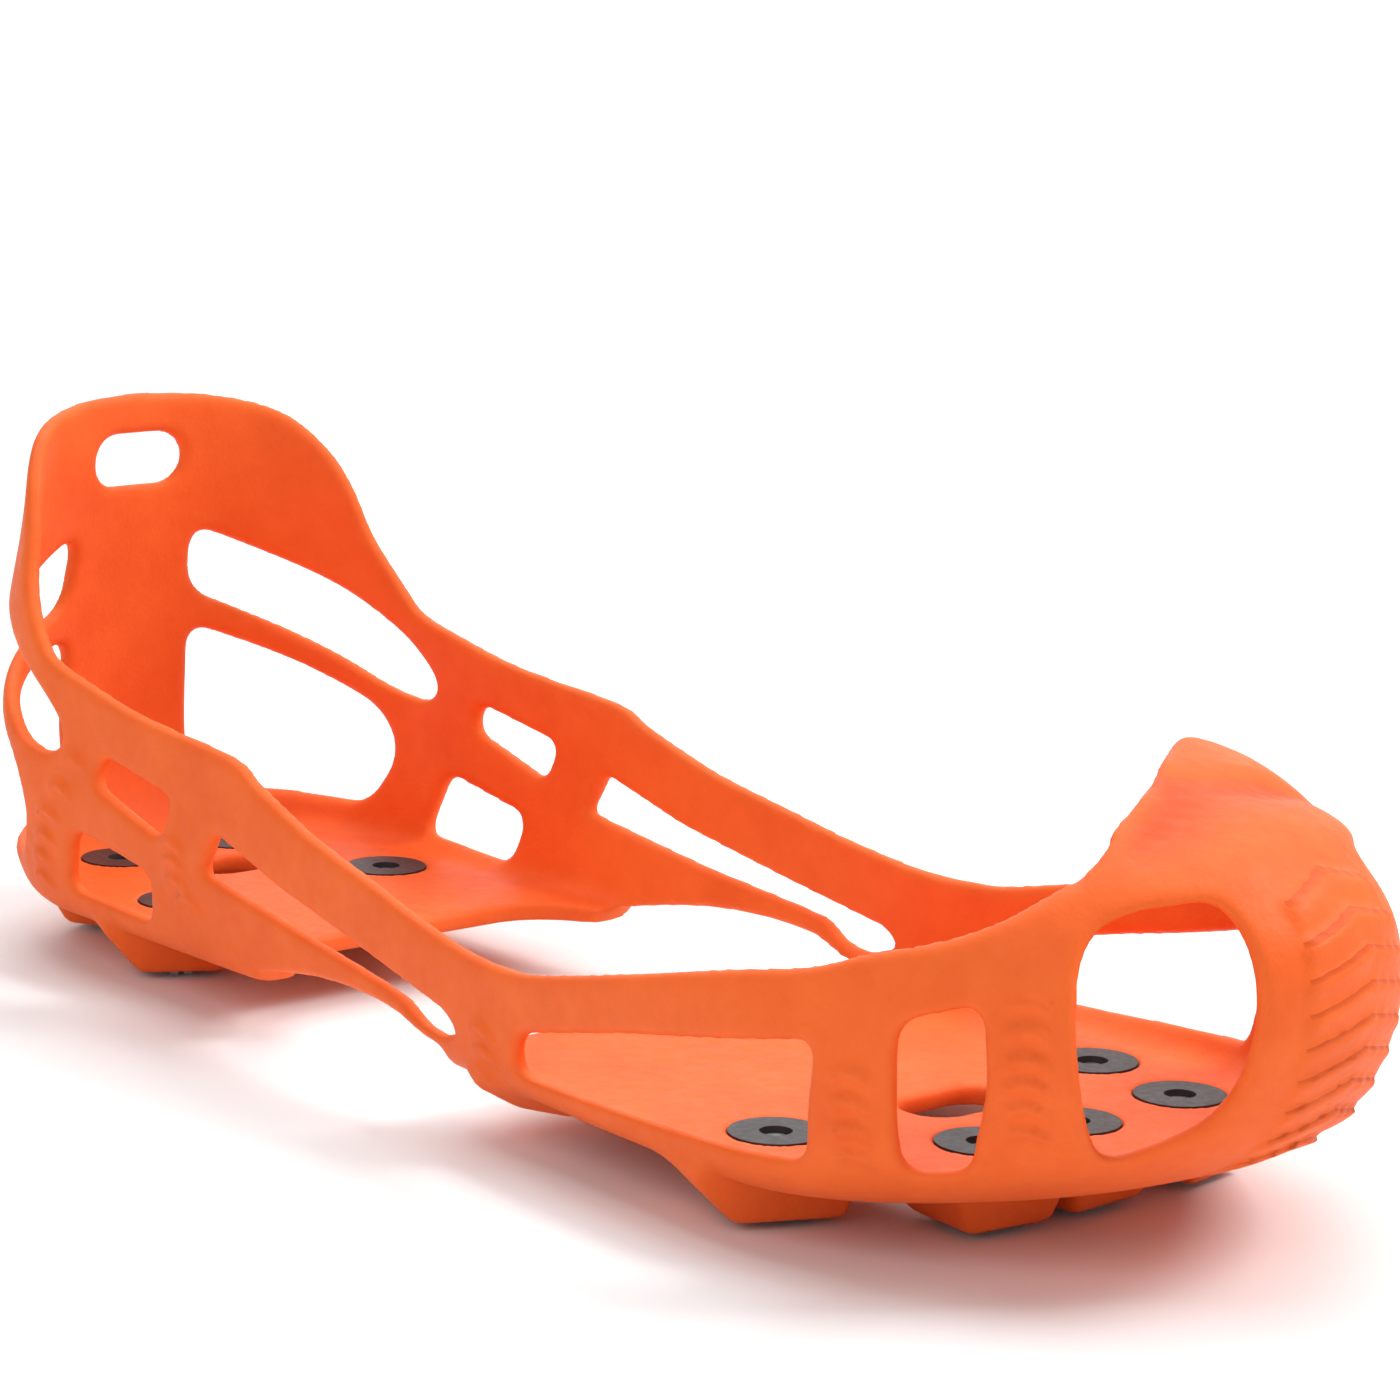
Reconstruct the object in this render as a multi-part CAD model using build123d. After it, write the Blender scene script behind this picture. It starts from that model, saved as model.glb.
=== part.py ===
"""Stretch-on ice cleats for a shoe: one elastomer harness, steel cleats and their inserts.

Millimetres.  +X points to the toe, +Z up.  The origin is under the middle of the object,
at the height of the cleat tips.  The harness has the shape that it takes on a shoe.
"""
from build123d import *
import math
import os

# ---------------------------------------------------------------- driving dimensions
WALL = 3.0                   # elastomer wall thickness
SOLE_UNDER = 9.0             # underside of the sole plate
SOLE_TOP = 12.5              # foot side of the sole plate
LUG_FACE = 1.2               # ground face of the lugs that hold a cleat
LOW_LUG_FACE = 5.0           # ground face of the small lugs under the instep

HEEL_CENTRE = -105.0         # x where the heel curve runs into the side
TOE_CENTRE = 78.5            # x where the side runs into the toe curve
TOE_REACH = 25.0             # least length of the toe curve, where the sections get short
WAIST_X = -22.0              # x of the narrowest place, at the arch
HEEL_POWER = 2.2             # squareness of the heel in plan
TOE_POWER = 1.95             # squareness of the toe in plan

# outer sections: height, heel back x, half widths at heel, waist and ball, toe tip x
SECTIONS = [
    (9.0, -137.0, 36.5, 39.5, 47.5, 113.5),
    (13.5, -141.5, 38.8, 42.0, 50.5, 126.0),
    (21.0, -145.3, 40.4, 43.5, 52.0, 138.5),
    (31.0, -147.3, 41.7, 44.0, 52.4, 145.0),
    (41.0, -147.0, 41.2, 43.5, 51.2, 147.3),
    (51.5, -146.6, 40.6, 42.0, 47.5, 145.0),
    (60.0, -146.0, 40.0, 40.0, 42.0, 135.0),
    (67.0, -144.5, 39.0, 37.5, 34.2, 118.0),
    (72.0, -143.5, 38.2, 35.0, 27.5, 97.5),
    (80.0, -142.0, 37.5, 33.0, 21.5, 68.0),
    (98.0, -141.5, 36.0, 31.0, 18.5, 28.0),
]
LEVELS = [9.0, 11.0, 13.5, 18.0, 24.0, 31.0, 41.0, 48.0, 54.0, 60.0, 64.0, 67.0, 72.0, 80.0, 98.0]
REFERENCE_HEIGHT = 31.0      # distances round the wall are measured at this height

# The toe's middle sits to the left of the centre line, as on a right shoe, so the left side's
# pattern lies further back towards the toe: by this much, from TWIST_START to TWIST_END.
TOE_TWIST = 17.0
TWIST_START, TWIST_END = 230.0, 320.0    # distances round the wall from the heel centre
SIDE_START = 172.0           # distance round the wall, less x, along the nearly straight sides

# upper edge of the right side band, heel tab to toe flap: x, z
TOP_EDGE = [(-150, 93), (-136, 92), (-126, 85), (-119, 72), (-110, 58), (-95, 51.5), (-75, 48.8),
            (-53, 46.2), (-35, 40.5), (-12, 35), (14, 31), (30, 30), (47, 32.5), (62, 36.5),
            (80, 41), (97, 45.5), (112, 50.5), (124, 57)]
# rear edge of the toe flap in plan, right to left: x, y
FLAP_EDGE = [(124.5, -25), (119.5, -15.5), (114.5, -6), (109, 3), (103, 12), (97, 21), (96, 27), (98.5, 33),
             (104, 39)]
TRIM_HEIGHT = 130.0          # everything above the band and behind the flap, up to here, is open

# windows in the wall: corners (distance round the wall from the heel centre, z), corner radius
WINDOWS = {
    "toe_side": ([(308.5, 25), (310, 20.3), (323, 23.8), (331, 29), (333.5, 42), (332, 56.5), (316, 55.5),
                  (308.5, 51.5)], 3.0),
    "ball_front": ([(283.5, 17), (293.5, 18), (296.5, 31), (295.5, 42.5), (283.5, 38.8)], 1.8),
    "ball_long": ([(202.5, 13.8), (268.5, 16.5), (270.5, 34.3), (232, 27), (204.5, 20.6)], 2.0),
    "arch_slit": ([(113, 26.3), (143, 22), (164, 19.6), (171, 18.5), (175.5, 15.6), (181, 14.8),
                   (186.5, 16.6), (183.5, 19), (175, 20.6), (162, 23), (136, 28), (117, 33.3)], 0.9),
    "heel_upper": ([(81, 35.3), (100.5, 29.8), (104, 36.8), (83, 40.3)], 2.0),
    "heel_lower": ([(70, 15), (94.3, 14), (96.5, 22.5), (74, 26.2)], 2.0),
    "heel_back_upper": ([(14, 56), (40, 46), (56, 39.5), (67, 38), (71.5, 42), (64, 48), (46, 56.5),
                         (14, 68)], 2.0),
    "heel_back_lower": ([(14, 20), (52.5, 17.5), (59, 27.5), (54, 35), (36, 42), (14, 49.5)], 2.0),
}
CUT_INWARD, CUT_OUTWARD = 24.0, 16.0     # reach of a window's cutter, from the wall

FINGER_SLOT = (18.0, 9.0, 81.0)          # width, height and middle height in the heel tab
SLOT_START = -150.0          # x behind the heel tab where the slot's cutter starts
ARCH_RELIEF = [(-63, 8.5), (-45, 12.5), (-25, 15.8), (-6, 15.8), (3, 13.4), (9, 12), (13, 8.5)]
ARCH_HOLE = (-58.0, 4.0, 31.0)           # rear x, front x and half width of the open arch
ARCH_CORNER = 12.0           # corner radius of the open arch
SOLE_HOLES = [((75.2, 0), (11, 18)), ((-111.3, 0), (11, 15))]    # centre, length and width

ARCH_FLEX = (-50.0, 2.0)     # x range of the straps that bend at the arch
BALL_FLEX = (36.0, 57.0)     # x range of the web that bends at the ball

LUG_FLARE = 2.4              # how far a lug widens up to the sole plate
# lug centre x, y, turn in degrees anticlockwise from above, half width of the ground face,
# and how much further it slopes out at its rear and towards the nearer side
CLEAT_PLACES = {
    "toe_centre": (93.2, 6.5, 4.0, 7.4, 2.0, 0.0),
    "toe_left": (92.5, 29.5, 11.0, 7.4, 2.0, 2.0),
    "toe_right": (92.8, -11.5, -6.0, 7.4, 2.0, 2.0),
    "ball_left": (71.5, 32.2, 24.0, 8.3, 9.0, 6.0),
    "ball_right": (71.5, -32.2, -24.0, 8.3, 9.0, 6.0),
    "instep": (21.5, 0.0, 0.0, 7.4, 3.0, 0.0),
    "heel_front_left": (-94.0, 22.0, 31.0, 7.2, 7.0, 4.5),
    "heel_front_right": (-94.0, -22.0, -31.0, 7.2, 7.0, 4.5),
    "heel_rear_left": (-126.0, 12.5, -30.0, 7.4, 2.0, 0.0),
    "heel_rear_right": (-126.0, -12.5, 30.0, 7.4, 2.0, 0.0),
}
LOW_LUGS = [(24.0, 33.0, -20.0, 5.0, 3.0, 4.0), (24.0, -33.0, 20.0, 5.0, 3.0, 4.0)]
LUG_CLIP_HEIGHT = 13.0       # lugs stay inside the outer shape at this height
ROOT_OVERLAP = 0.8           # how far a lug's root runs into the sole plate

CLEAT_FLANGE = (10.6, 1.2)   # diameter and thickness
CLEAT_CROWN = (6.35, 2.2)    # across flats and height of the toothed head
CLEAT_SHANK = (4.8, 8.2)     # diameter and length above the flange
TOOTH_DEPTH, TOOTH_GROOVE = 0.9, 1.3     # V grooves that cut the crown into teeth
CROWN_HOLLOW = 2.0           # diameter of the hollow between the teeth
SHANK_POINT = 0.6            # chamfer at the shank's end
POCKET_GAP = 0.3             # gap round the flange in its pocket, which takes part of the crown too
HOLE_GAP = 0.2               # gap round the shank between pocket and insert
INSERT_FLANGE = (14.0, 1.5)  # diameter and thickness, flush with the sole's foot side
INSERT_BARREL = 9.0          # diameter
INSERT_UNDER = 4.6           # height of the barrel's lower end
THREAD_CLEARANCE = 0.05      # radial, shank in insert


# ---------------------------------------------------------------- shape of the wall
def size_at(z):
    """The five outline sizes at height z, by a smooth curve through SECTIONS."""
    rows = SECTIONS
    z = min(max(z, rows[0][0]), rows[-1][0])
    i = next(k for k in range(len(rows) - 1) if z <= rows[k + 1][0])
    span = rows[i + 1][0] - rows[i][0]
    u = (z - rows[i][0]) / span

    def slope(k, column):
        low, high = max(k - 1, 0), min(k + 1, len(rows) - 1)
        return (rows[high][column] - rows[low][column]) / (rows[high][0] - rows[low][0])

    return [
        (2 * u**3 - 3 * u**2 + 1) * rows[i][c] + (3 * u**2 - 2 * u**3) * rows[i + 1][c]
        + span * ((u**3 - 2 * u**2 + u) * slope(i, c) + (u**3 - u**2) * slope(i + 1, c))
        for c in range(1, 6)
    ]


def half_outline(size, t):
    """Point (x, y) on the left half of an outline: t 0-1 heel, 1-2 side, 2-3 toe."""
    back, heel, waist, ball, tip = size
    toe_centre = min(TOE_CENTRE, tip - TOE_REACH)
    if t < 1:
        angle = t * math.pi / 2
        x = HEEL_CENTRE - (HEEL_CENTRE - back) * math.cos(angle) ** (2 / HEEL_POWER)
        return x, heel * math.sin(angle) ** (2 / HEEL_POWER)
    if t < 2:
        u = t - 1
        at_waist = (WAIST_X - HEEL_CENTRE) / (TOE_CENTRE - HEEL_CENTRE)
        bow = waist - heel - (ball - heel) * at_waist**2 * (3 - 2 * at_waist)
        y = heel + (ball - heel) * u**2 * (3 - 2 * u) + bow * math.sin(math.pi * u) ** 2
        return HEEL_CENTRE + (toe_centre - HEEL_CENTRE) * u, y
    angle = (3 - t) * math.pi / 2
    x = toe_centre + (tip - toe_centre) * max(math.cos(angle), 0) ** (2 / TOE_POWER)
    return x, ball * math.sin(angle) ** (2 / TOE_POWER)


def outline_face(size, z, steps=9):
    """A closed smooth outline as a face at height z."""
    left = [half_outline(size, i / steps) for i in range(3 * steps + 1)]
    right = [(x, -y) for x, y in reversed(left[1:-1])]
    return Pos(0, 0, z) * make_face(Spline(*[(x, y, 0) for x, y in left + right], periodic=True))


def inset(z, wall):
    """Sizes of the cavity at height z: a wall's thickness inside the outer shape."""
    (back, *halves, tip), (back_above, *halves_above, tip_above) = size_at(z), size_at(z + wall)
    halves = [min(pair) - wall for pair in zip(halves, halves_above)]
    return [max(back, back_above) + wall, *halves, min(tip, tip_above) - wall]


def cumulative_length(samples=600):
    """Distance round the wall from the heel centre, against the outline's parameter."""
    size = size_at(REFERENCE_HEIGHT)
    points = [half_outline(size, 3 * i / samples) for i in range(samples + 1)]
    total = [0.0]
    for (x0, y0), (x1, y1) in zip(points, points[1:]):
        total.append(total[-1] + math.hypot(x1 - x0, y1 - y0))
    return total


WALL_LENGTH = cumulative_length()


def wall_point(distance, z, side):
    """Outer wall point at height z, straight in or out from a place on the reference outline.

    side is +1 left, -1 right."""
    i = next(k for k in range(len(WALL_LENGTH) - 1) if distance <= WALL_LENGTH[k + 1])
    part = (distance - WALL_LENGTH[i]) / (WALL_LENGTH[i + 1] - WALL_LENGTH[i])
    step = 3 / (len(WALL_LENGTH) - 1)
    reference = size_at(REFERENCE_HEIGHT)
    (x0, y0), (x1, y1) = half_outline(reference, i * step), half_outline(reference, (i + 1) * step)
    base_x, base_y = x0 + part * (x1 - x0), y0 + part * (y1 - y0)
    outline = [half_outline(size_at(z), k * step) for k in range(len(WALL_LENGTH))]
    along = [(x - base_x) * (x1 - x0) + (y - base_y) * (y1 - y0) for x, y in outline]
    crossings = []
    for k in range(len(outline) - 1):
        if along[k] <= 0 < along[k + 1]:
            part = along[k] / (along[k] - along[k + 1])
            (ax, ay), (bx, by) = outline[k], outline[k + 1]
            crossings.append((ax + part * (bx - ax), ay + part * (by - ay)))
    x, y = min(crossings, key=lambda p: math.hypot(p[0] - base_x, p[1] - base_y))
    return Vector(x, side * y, z)


# ---------------------------------------------------------------- cutters
def rounded_polygon(points, radius):
    sketch = make_face(Polyline(*points, close=True))
    return fillet(sketch.vertices(), radius)


def across(sketch):
    """A side-view sketch (x, z) as a cutter through both walls."""
    return extrude(Plane.XZ * sketch, amount=80, both=True)


def twisted(distance, side):
    """Where a place in the right side's pattern lies on the given side."""
    u = min(max((distance - TWIST_START) / (TWIST_END - TWIST_START), 0), 1)
    return distance - (TOE_TWIST * u**2 * (3 - 2 * u) if side > 0 else 0)


def window(points, radius, side):
    """Cutter for one window, square to the wall at the window's middle."""
    points = [(twisted(distance, side), z) for distance, z in points]
    corners = [wall_point(distance, z, side) for distance, z in points]
    middle = sum(corners, Vector()) / len(corners)
    distances = [distance for distance, _ in points]
    run = wall_point(max(distances), middle.Z, side) - wall_point(min(distances), middle.Z, side)
    tangent = Vector(run.X, run.Y, 0).normalized()
    outward = tangent.cross(Vector(0, 0, 1)) * -side
    plane = Plane(origin=middle, x_dir=tangent, z_dir=outward)
    local = [plane.to_local_coords(corner) for corner in corners]
    sketch = plane * rounded_polygon([(p.X, p.Y) for p in local], radius)
    return (extrude(sketch, amount=CUT_OUTWARD, dir=outward)
            + extrude(sketch, amount=CUT_INWARD, dir=-outward))


def trim_above():
    """Everything above the side bands and behind the toe flap."""
    bands = []
    for side in (1, -1):
        edge = [(twisted(x + SIDE_START, side) - SIDE_START, z) for x, z in TOP_EDGE]
        (start_x, start_z), (end_x, end_z) = edge[0], edge[-1]
        rim = Polyline(edge[-1], (end_x + 40, end_z + 3), (end_x + 40, TRIM_HEIGHT),
                       (start_x - 5, TRIM_HEIGHT), (start_x - 5, start_z), edge[0])
        bands.append(extrude(Plane.XZ * make_face(Spline(*edge) + rim), amount=80, dir=(0, side, 0)))
    (right_x, right_y), (left_x, left_y) = FLAP_EDGE[0], FLAP_EDGE[-1]
    around = Polyline(FLAP_EDGE[-1], (left_x + 20, left_y + 40), (-200, left_y + 40), (-200, right_y - 60),
                      (right_x + 30, right_y - 60), FLAP_EDGE[0])
    behind = extrude(make_face(Spline(*FLAP_EDGE) + around), amount=TRIM_HEIGHT)
    return (bands[0] + bands[1]) & behind


def arch_cutters():
    rear, front, half = ARCH_HOLE
    hole = Pos((rear + front) / 2, 0, 0) * RectangleRounded(front - rear, 2 * half, ARCH_CORNER)
    relief = Spline(*ARCH_RELIEF) + Polyline(ARCH_RELIEF[-1], (ARCH_RELIEF[-1][0], 0),
                                             (ARCH_RELIEF[0][0], 0), ARCH_RELIEF[0])
    return [extrude(hole, amount=SOLE_TOP + 1), across(make_face(relief))]


def sole_holes():
    return [Pos(*centre, 0) * extrude(RectangleRounded(*size, min(size) / 2 - 0.5), amount=SOLE_TOP + 1)
            for centre, size in SOLE_HOLES]


# ---------------------------------------------------------------- lugs
def lug(x, y, turn, half, rear_ramp, outer_ramp, face):
    """A faceted lug: a square ground face with longer slopes towards the heel and the nearer side."""
    front = inner = half + LUG_FLARE
    rear, outer = front + rear_ramp, inner + outer_ramp
    left, right = (outer, inner) if y > 0 else (inner, outer)
    ground = make_face(Polyline((half, -half), (half, half), (-half, half), (-half, -half), close=True))
    root = make_face(Polyline((front, -right), (front, left), (-rear, left), (-rear, -right), close=True))
    body = loft([Pos(0, 0, face) * ground, Pos(0, 0, SOLE_UNDER + ROOT_OVERLAP) * root], ruled=True)
    return Pos(x, y, 0) * Rot(0, 0, turn) * body


def cleat_seat(x, y):
    """What a cleat and its insert leave out of the elastomer."""
    flange, flange_height = CLEAT_FLANGE
    base = (Align.CENTER, Align.CENTER, Align.MIN)
    pocket = Cylinder(flange / 2 + POCKET_GAP, CLEAT_CROWN[1] + flange_height, align=base)
    hole = Cylinder(CLEAT_SHANK[0] / 2 + HOLE_GAP, SOLE_TOP, align=base)
    return Pos(x, y, 0) * (pocket + hole + insert_envelope())


def insert_envelope():
    base = (Align.CENTER, Align.CENTER, Align.MIN)
    flange, thick = INSERT_FLANGE
    barrel = Pos(0, 0, INSERT_UNDER) * Cylinder(INSERT_BARREL / 2, SOLE_TOP - INSERT_UNDER, align=base)
    return barrel + Pos(0, 0, SOLE_TOP - thick) * Cylinder(flange / 2, thick, align=base)


# ---------------------------------------------------------------- parts
def make_harness():
    outer = loft([outline_face(size_at(z), z) for z in LEVELS], ruled=True)
    cavity = [SOLE_TOP] + [z for z in LEVELS if z > SOLE_TOP] + [LEVELS[-1] + 6]
    shell = outer - loft([outline_face(inset(z, WALL), z) for z in cavity], ruled=True)
    clip = extrude(outline_face(size_at(LUG_CLIP_HEIGHT), 0), amount=SOLE_UNDER + 1)
    lugs = [lug(*place, LUG_FACE) for place in CLEAT_PLACES.values()]
    lugs += [lug(*place, LOW_LUG_FACE) for place in LOW_LUGS]
    lugs = [body & clip for body in lugs]
    cutters = [trim_above(), *arch_cutters(), *sole_holes()]
    cutters += [window(*outline, side) for outline in WINDOWS.values() for side in (1, -1)]
    width, height, middle = FINGER_SLOT
    slot = Plane.YZ * Pos(0, middle) * SlotOverall(width, height)
    cutters.append(Pos(SLOT_START, 0, 0) * extrude(slot, amount=HEEL_CENTRE - SLOT_START))
    seats = [cleat_seat(x, y) for x, y, *_ in CLEAT_PLACES.values()]
    return (shell - cutters + lugs) - seats


def slab(start, end):
    """A box across the whole object between two x values."""
    return Pos((start + end) / 2, 0, 60) * Box(end - start, 200, 200)


def make_cleat(x, y):
    """Screw-in cleat: toothed hex crown, flange and shank."""
    base = (Align.CENTER, Align.CENTER, Align.MIN)
    across_flats, height = CLEAT_CROWN
    crown = extrude(RegularPolygon(across_flats / 2, 6, major_radius=False), amount=height)
    groove = Plane.XZ * make_face(Polyline((-TOOTH_GROOVE / 2, 0), (TOOTH_GROOVE / 2, 0), (0, TOOTH_DEPTH),
                                           close=True))
    groove = extrude(groove, amount=6, both=True)
    for i in range(3):
        crown -= Rot(0, 0, 60 * i) * groove
    crown -= Cylinder(CROWN_HOLLOW / 2, TOOTH_DEPTH, align=base)
    diameter, thick = CLEAT_FLANGE
    flange = Pos(0, 0, height) * Cylinder(diameter / 2, thick, align=base)
    shank = Pos(0, 0, height + thick) * Cylinder(CLEAT_SHANK[0] / 2, CLEAT_SHANK[1], align=base)
    shank = chamfer(shank.edges().sort_by(Axis.Z)[-1], SHANK_POINT)
    return Pos(x, y, 0) * (crown + flange + shank)


def make_insert(x, y):
    """Moulded-in threaded insert, flush with the foot side of the sole."""
    bore = Cylinder(CLEAT_SHANK[0] / 2 + THREAD_CLEARANCE, 2 * SOLE_TOP)
    return Pos(x, y, 0) * (insert_envelope() - bore)


def save(shape, name):
    solids = shape.solids()
    shape = solids[0] if len(solids) == 1 else Compound(list(solids))
    shape.label = name
    export_step(shape, f"parts/{name}.step")


os.makedirs("parts", exist_ok=True)
harness = make_harness()
save(harness & slab(-200, ARCH_FLEX[0]), "harness_heel")
save(harness & slab(*ARCH_FLEX), "harness_arch_straps")
save(harness & slab(ARCH_FLEX[1], BALL_FLEX[0]), "harness_instep")
save(harness & slab(*BALL_FLEX), "harness_ball_web")
save(harness & slab(BALL_FLEX[1], 200), "harness_toe")
for spot, (x, y, *_) in CLEAT_PLACES.items():
    save(make_cleat(x, y), "cleat_" + spot)
    save(make_insert(x, y), "insert_" + spot)
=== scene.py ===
"""Stretch-on ice cleats for a shoe, as they look: one orange elastomer harness in the shape that it
takes on a shoe, with steel cleats screwed into moulded inserts.  The harness is made as a distance
field on a grid of cells and cut into two pieces at the instep.
Lengths in the tables are millimetres, as in the part's own frame; Blender's are metres.
"""
import math

import bmesh
import bpy
import numpy as np
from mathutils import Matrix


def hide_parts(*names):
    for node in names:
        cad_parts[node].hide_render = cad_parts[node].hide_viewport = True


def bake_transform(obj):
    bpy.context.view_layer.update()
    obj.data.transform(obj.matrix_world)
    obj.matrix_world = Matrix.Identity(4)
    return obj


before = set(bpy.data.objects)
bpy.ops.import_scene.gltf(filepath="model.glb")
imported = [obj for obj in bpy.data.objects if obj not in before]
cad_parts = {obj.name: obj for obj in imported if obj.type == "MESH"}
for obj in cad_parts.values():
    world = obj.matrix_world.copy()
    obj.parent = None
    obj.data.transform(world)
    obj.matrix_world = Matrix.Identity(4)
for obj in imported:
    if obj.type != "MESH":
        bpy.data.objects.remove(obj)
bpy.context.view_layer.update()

import openvdb
from mathutils import Matrix, Vector

MM = 0.001
CELL = 0.8        # grid cell of the distance field

# ---------------------------------------------------------------- the wall's shape
WALL = 3.0
SOLE_UNDER, SOLE_TOP = 9.0, 12.5
HEEL_CENTRE, TOE_CENTRE, WAIST_X = -105.0, 78.5, -22.0
HEEL_POWER, TOE_POWER = 2.2, 1.95

# outer sections: height, heel back x, half widths at heel, waist and ball, toe tip x
SECTIONS = np.array([
    (9.0, -137.0, 36.5, 39.5, 47.5, 113.5),
    (13.5, -141.5, 38.8, 42.0, 50.5, 126.0),
    (21.0, -145.3, 40.4, 43.5, 52.0, 138.5),
    (31.0, -147.3, 41.7, 44.0, 52.4, 145.0),
    (41.0, -147.0, 41.2, 43.5, 51.2, 147.3),
    (51.5, -146.6, 40.6, 42.0, 47.5, 145.0),
    (60.0, -146.0, 40.0, 40.0, 42.0, 135.0),
    (67.0, -144.5, 39.0, 37.5, 35.0, 118.0),
    (72.0, -143.5, 38.2, 35.0, 28.5, 98.0),
    (80.0, -142.0, 37.5, 33.0, 21.5, 68.0),
    (98.0, -141.5, 36.0, 31.0, 18.5, 28.0),
])
REFERENCE_HEIGHT = 31.0
OUTLINE_BOTTOM, OUTLINE_TOP = 4.0, 104.0  # the solid form runs past both ends of the harness

TOE_TWIST = 17.0                          # left side's pattern runs this much less far round the toe
TWIST_START, TWIST_END = 230.0, 320.0
SIDE_START = 172.0                        # distance round the wall, less x, along the sides

# upper edge of the right side band, heel tab to toe flap: distance round the wall, height
TOP_EDGE = [(-20, 93), (0, 93), (18, 92), (33, 89), (43, 83), (49, 76), (54, 66), (62, 57), (67, 54),
            (78, 51.5), (90, 49.3), (101, 48.2), (120, 46.6), (127, 43.8), (138, 40.2), (146, 38), (161, 35),
            (176, 32), (191, 30), (202, 30), (210, 31), (232, 36), (253, 41), (268, 44), (277, 47),
            (288, 50), (296, 53), (302, 56), (308, 58.5), (318, 60), (380, 60)]
# rear edge of the toe flap in plan, right to left: x, y
FLAP_EDGE = [(150, -84), (124.5, -25), (119.5, -15.5), (114.5, -6), (109, 3), (103, 12), (97, 21), (96, 27),
             (98.5, 33), (104, 39), (134, 79)]

# windows in the wall: corners (distance round the wall, height), how far from a corner its curve starts
WINDOWS = {
    "toe_side": ([(310.5, 26), (313.3, 20.3), (323, 23.8), (331, 29), (333.5, 42), (332, 56.5), (316, 55.5),
                  (308.5, 51.5), (308.5, 38)], 6.0),
    "ball_front": ([(283.5, 17), (293.5, 18), (296.5, 31), (295.5, 42.5), (283.5, 38.8)], 3.5),
    "ball_long": ([(202.5, 13.8), (268.5, 16.5), (270.5, 34.3), (232, 27), (204.5, 20.6)], 3.5),
    "arch_slit": ([(113, 26.3), (143, 22), (164, 19.6), (171, 18.5), (175.5, 15.6), (181, 14.8),
                   (186.5, 16.6), (183.5, 19), (175, 20.6), (162, 23), (136, 28), (117, 33.3)], 1.6),
    "heel_upper": ([(81, 35.3), (100.5, 29.8), (104, 36.8), (83, 40.3)], 3.0),
    "heel_lower": ([(70, 15), (94.3, 14), (96.5, 22.5), (74, 26.2)], 3.5),
    "heel_back_upper": ([(14, 56), (40, 46), (56, 39.5), (67, 38), (71.5, 42), (64, 48), (46, 56.5),
                         (14, 68)], 5.0),
    "heel_back_lower": ([(14, 20), (52.5, 17.5), (59, 27.5), (54, 35), (36, 42), (14, 49.5)], 5.0),
}
FINGER_SLOT = (18.0, 9.0, 81.0)           # width, height and middle height in the heel tab
ARCH_RELIEF = [(-200, 8.0), (-63, 8.5), (-45, 12.5), (-25, 15.8), (-6, 15.8), (3, 13.4), (9, 12),
               (13, 8.5), (200, 8.0)]
ARCH_HOLE = ((-58.0, 4.0), 31.0, 12.0)    # x range, half width and corner radius of the open arch
SOLE_HOLES = [((75.2, 0), (11, 18)), ((-111.3, 0), (11, 15))]

# ---------------------------------------------------------------- relief on the wall
FLAP_THINNER, VALLEY_RELIEF = 1.2, 0.9    # the toe flap lies this far in, and its front edge this much more
LIP_RELIEF = 0.8                          # the bumper's upper edge swells by this much
# line between flap and bumper: height, fall at each end, place round the toe and half length
CREASE_TOP, CREASE_DROP, CREASE_MIDDLE, CREASE_HALF = 64.8, 5.6, 2.0, 44.0
# chevrons down the toe: the first one's apex height, spacing, count, half width, drop per mm and depth
CHEVRON_TOP, CHEVRON_STEP, CHEVRON_COUNT = 59.0, 4.8, 9
CHEVRON_HALF, CHEVRON_DROP, CHEVRON_RELIEF = 12.5, 0.235, 1.2
# crescents on the posts between the windows: distance round the wall, heights
CRESCENTS = [(75, [39]), (71, [33.5]), (67, [28.5]), (65, [24]), (63, [20]), (62, [16]),
             (105, [30, 27, 24]), (108, [21]), (195, [19.5, 16]), (192, [12.5]),
             (277, [31, 27, 23, 19]), (302, [44, 40, 36, 32.5, 29, 25.5])]
CRESCENT_RELIEF, CRESCENT_HALF = 1.0, 3.0

# ---------------------------------------------------------------- lugs and cleats
EDGE = 1.2                                # rounding of the lugs' edges
LUG_FACE, LOW_LUG_FACE = 1.2, 5.0
LUG_FLARE = 2.4
# x, y, turn in degrees anticlockwise, half width of the ground face, extra slope at rear and outer side
CLEAT_PLACES = [
    (93.2, 6.5, 4, 7.4, 2, 0), (92.5, 29.5, 11, 7.4, 2, 2), (92.8, -11.5, -6, 7.4, 2, 2),
    (71.5, 32.2, 24, 8.3, 9, 6), (71.5, -32.2, -24, 8.3, 9, 6), (21.5, 0.0, 0, 7.4, 3, 0),
    (-94.0, 22.0, 31, 7.2, 7, 4.5), (-94.0, -22.0, -31, 7.2, 7, 4.5),
    (-126.0, 12.5, -30, 7.4, 2, 0), (-126.0, -12.5, 30, 7.4, 2, 0),
]
LOW_LUGS = [(24.0, 33.0, -20, 5, 3, 4), (24.0, -33.0, 20, 5, 3, 4)]
POCKET = (5.6, 3.4)                       # radius and upper end of the cleat flange's pocket
SHANK_HOLE = 2.6
INSERT_FLANGE, INSERT_BARREL, INSERT_UNDER = (7.0, 1.5), 4.5, 4.6

SEAM_X = 30.3                             # where the two harness pieces meet, in the instep


# ---------------------------------------------------------------- distance tools
def smooth_max(a, b, radius):
    """The larger of two fields, rounded where they are within radius of each other."""
    h = np.maximum(radius - np.abs(a - b), 0) / radius
    return np.maximum(a, b) + h * h * radius / 4


def smooth_min(a, b, radius):
    return -smooth_max(-a, -b, radius)


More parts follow.
